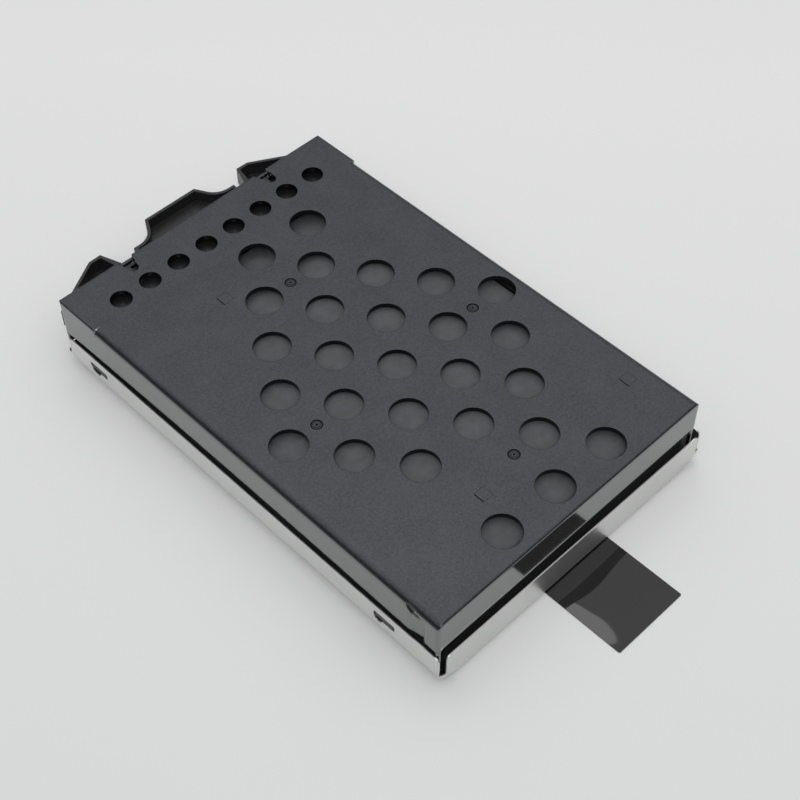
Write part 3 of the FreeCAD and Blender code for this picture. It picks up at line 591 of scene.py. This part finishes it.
def flat_ring(bm, x, y, z, r_in, r_out):
    turn = [2 * math.pi * i / RING_TURNS for i in range(RING_TURNS)]
    inner, outer = ([bm.verts.new((x + r * math.cos(a), y + r * math.sin(a), z)) for a in turn]
                    for r in (r_in, r_out))
    for i in range(RING_TURNS):
        j = (i + 1) % RING_TURNS
        bm.faces.new((inner[i], outer[i], outer[j], inner[j]))


def flat_strip(bm, x0, x1, y0, y1, z):
    corners = ((x0, y0), (x1, y0), (x1, y1), (x0, y1))
    bm.faces.new([bm.verts.new((x, y, z)) for x, y in corners])


def ring_marks(bm, r_in, r_out, lift):
    for col, row in RING_PLACES:
        flat_ring(bm, HOLE_MID[0] + col * HOLE_STEP[0], HOLE_MID[1] + row * HOLE_STEP[1],
                  COVER_TOP + lift * MM, r_in * MM, r_out * MM)


def square_sides():
    """x and y bounds of each insert mark."""
    for dx, dy in SQUARE_PLACES:
        x, y = HOLE_MID[0] + dx * MM, HOLE_MID[1] + dy * MM
        yield x - SQUARE_HALF, x + SQUARE_HALF, y - SQUARE_HALF, y + SQUARE_HALF


def square_lines(bm):
    """Three faint sides of each insert mark."""
    z = COVER_TOP + LINE_LIFT
    for x0, x1, y0, y1 in square_sides():
        flat_strip(bm, x0, x1, y1 - LINE_WIDTH, y1, z)
        flat_strip(bm, x0, x1, y0, y0 + LINE_WIDTH, z)
        flat_strip(bm, x1 - LINE_WIDTH, x1, y0 + LINE_WIDTH, y1 - LINE_WIDTH, z)


def square_shade_edges(bm):
    """Painted shade: a darker strip along each mark's -X side, a little short of the corner."""
    for x0, x1, y0, y1 in square_sides():
        short_end = (y0 + y1) / 2 + SQUARE_HALF * EDGE_REACH
        flat_strip(bm, x0, x0 + EDGE_WIDTH, y0, short_end, COVER_TOP + EDGE_LIFT)


def window_arc(mid, t):
    """A point at t on the curve from the eye's rear corner over mid to its front corner."""
    point = []
    for a, m, b in zip(EYE_REAR, mid, EYE_FRONT):
        bend = 2 * m - (a + b) / 2
        point.append(a * (1 - t) ** 2 + 2 * bend * t * (1 - t) + b * t ** 2)
    return point


def latch_finger(bm):
    """The latch finger behind the lower part of the left pocket's window."""
    lower, upper = [], []
    for i in range(FINGER_STEPS + 1):
        t = i / FINGER_STEPS
        low, high = window_arc(EYE_DIP, t), window_arc(EYE_BROW, t)
        for row, share in ((lower, FINGER_LOW), (upper, FINGER_HIGH)):
            y, z = (a + (b - a) * share for a, b in zip(low, high))
            ramp = RAMP_DEPTH * (RAMP_REAR - y) / (RAMP_REAR - RAMP_FRONT)
            row.append(bm.verts.new((COVER_LO.x + (ramp + FINGER_BEHIND) * MM,
                                     COVER_LO.y + y * MM, COVER_TOP + z * MM)))
    for i in range(FINGER_STEPS):
        bm.faces.new((lower[i], lower[i + 1], upper[i + 1], upper[i]))


surface_piece("LatchFinger", MATERIALS["cover_black"], latch_finger)
for name, material, r_in, r_out, lift in RINGS:
    surface_piece(name, material, lambda bm: ring_marks(bm, r_in, r_out, lift))
surface_piece("SquareMarkLines", MARK_SHADE, square_lines)
surface_piece("SquareMarkShadeEdges", MARK_AND_SHADE_DARK, square_shade_edges)


# ------------------------------------------------------------------- stage
FLOOR_HALF = 40.0                        # m, far enough out for the lower views
FLOOR_Z = -0.03 * MM                     # just clear of the film
# the sky's strength (To) by the sine of the height over the horizon (From)
SKY_RAMP = {"From Min": 0.22, "From Max": 0.9, "To Min": 0.09, "To Max": 1.21}
LIGHT_TARGET = Vector((0, 0, 0))
LIGHTS = (                               # name, place, diameter (m), power (W)
    ("KeySoft", (0.30, 0.35, 1.5), 0.8, 3.0),
    ("FillSoft", (-0.62, -0.68, 1.12), 0.5, 6.0),
)


def floor_material():
    """Pale sweep with a painted light falloff: lighter towards the rear right."""
    s = Shade("FloorPale", (0.69, 0.695, 0.693), rough=0.6, specular=0.2)
    s.rough(s.noise(size_mm=60.0), smooth=0.5, matt=0.62)
    at = s.axes(s.place)
    along = s.sum_of(at["X"], 0.75, at["Y"], 0.6)
    # painted light falloff: the colour runs from darker front left to lighter rear right
    s.ramp_color(s.span(along, -0.11, 0.11, 0.0, 1.0), 0.0, 1.0,
                 (0.563, 0.571, 0.568), (0.65, 0.655, 0.652))
    return s.done()


def floor():
    bm = bmesh.new()
    flat_strip(bm, -FLOOR_HALF, FLOOR_HALF, -FLOOR_HALF, FLOOR_HALF, FLOOR_Z)
    mesh = mesh_from("Floor", bm)
    mesh.materials.append(floor_material())
    obj = place_object("Floor", mesh)


def sky():
    """Bright overhead, darker towards the horizon."""
    world = bpy.data.worlds.new("Studio")
    world.use_nodes = True
    tree = world.node_tree
    background = tree.nodes["Background"]
    background.inputs["Color"].default_value = (1.0, 1.0, 1.0, 1.0)
    place = tree.nodes.new("ShaderNodeTexCoord")
    split = tree.nodes.new("ShaderNodeSeparateXYZ")
    height = tree.nodes.new("ShaderNodeMapRange")
    height.interpolation_type = "SMOOTHSTEP"
    for socket, value in SKY_RAMP.items():
        height.inputs[socket].default_value = value
    tree.links.new(place.outputs["Generated"], split.inputs["Vector"])
    tree.links.new(split.outputs["Z"], height.inputs["Value"])
    tree.links.new(height.outputs["Result"], background.inputs["Strength"])
    scene.world = world


def area_light(name, place, size, power):
    data = bpy.data.lights.new(name, "AREA")
    data.shape = "DISK"
    data.size = size
    data.energy = power
    obj = place_object(name, data)
    obj.location = place
    obj.rotation_euler = (LIGHT_TARGET - Vector(place)).to_track_quat("-Z", "Y").to_euler()


floor()
sky()
for light in LIGHTS:
    area_light(*light)
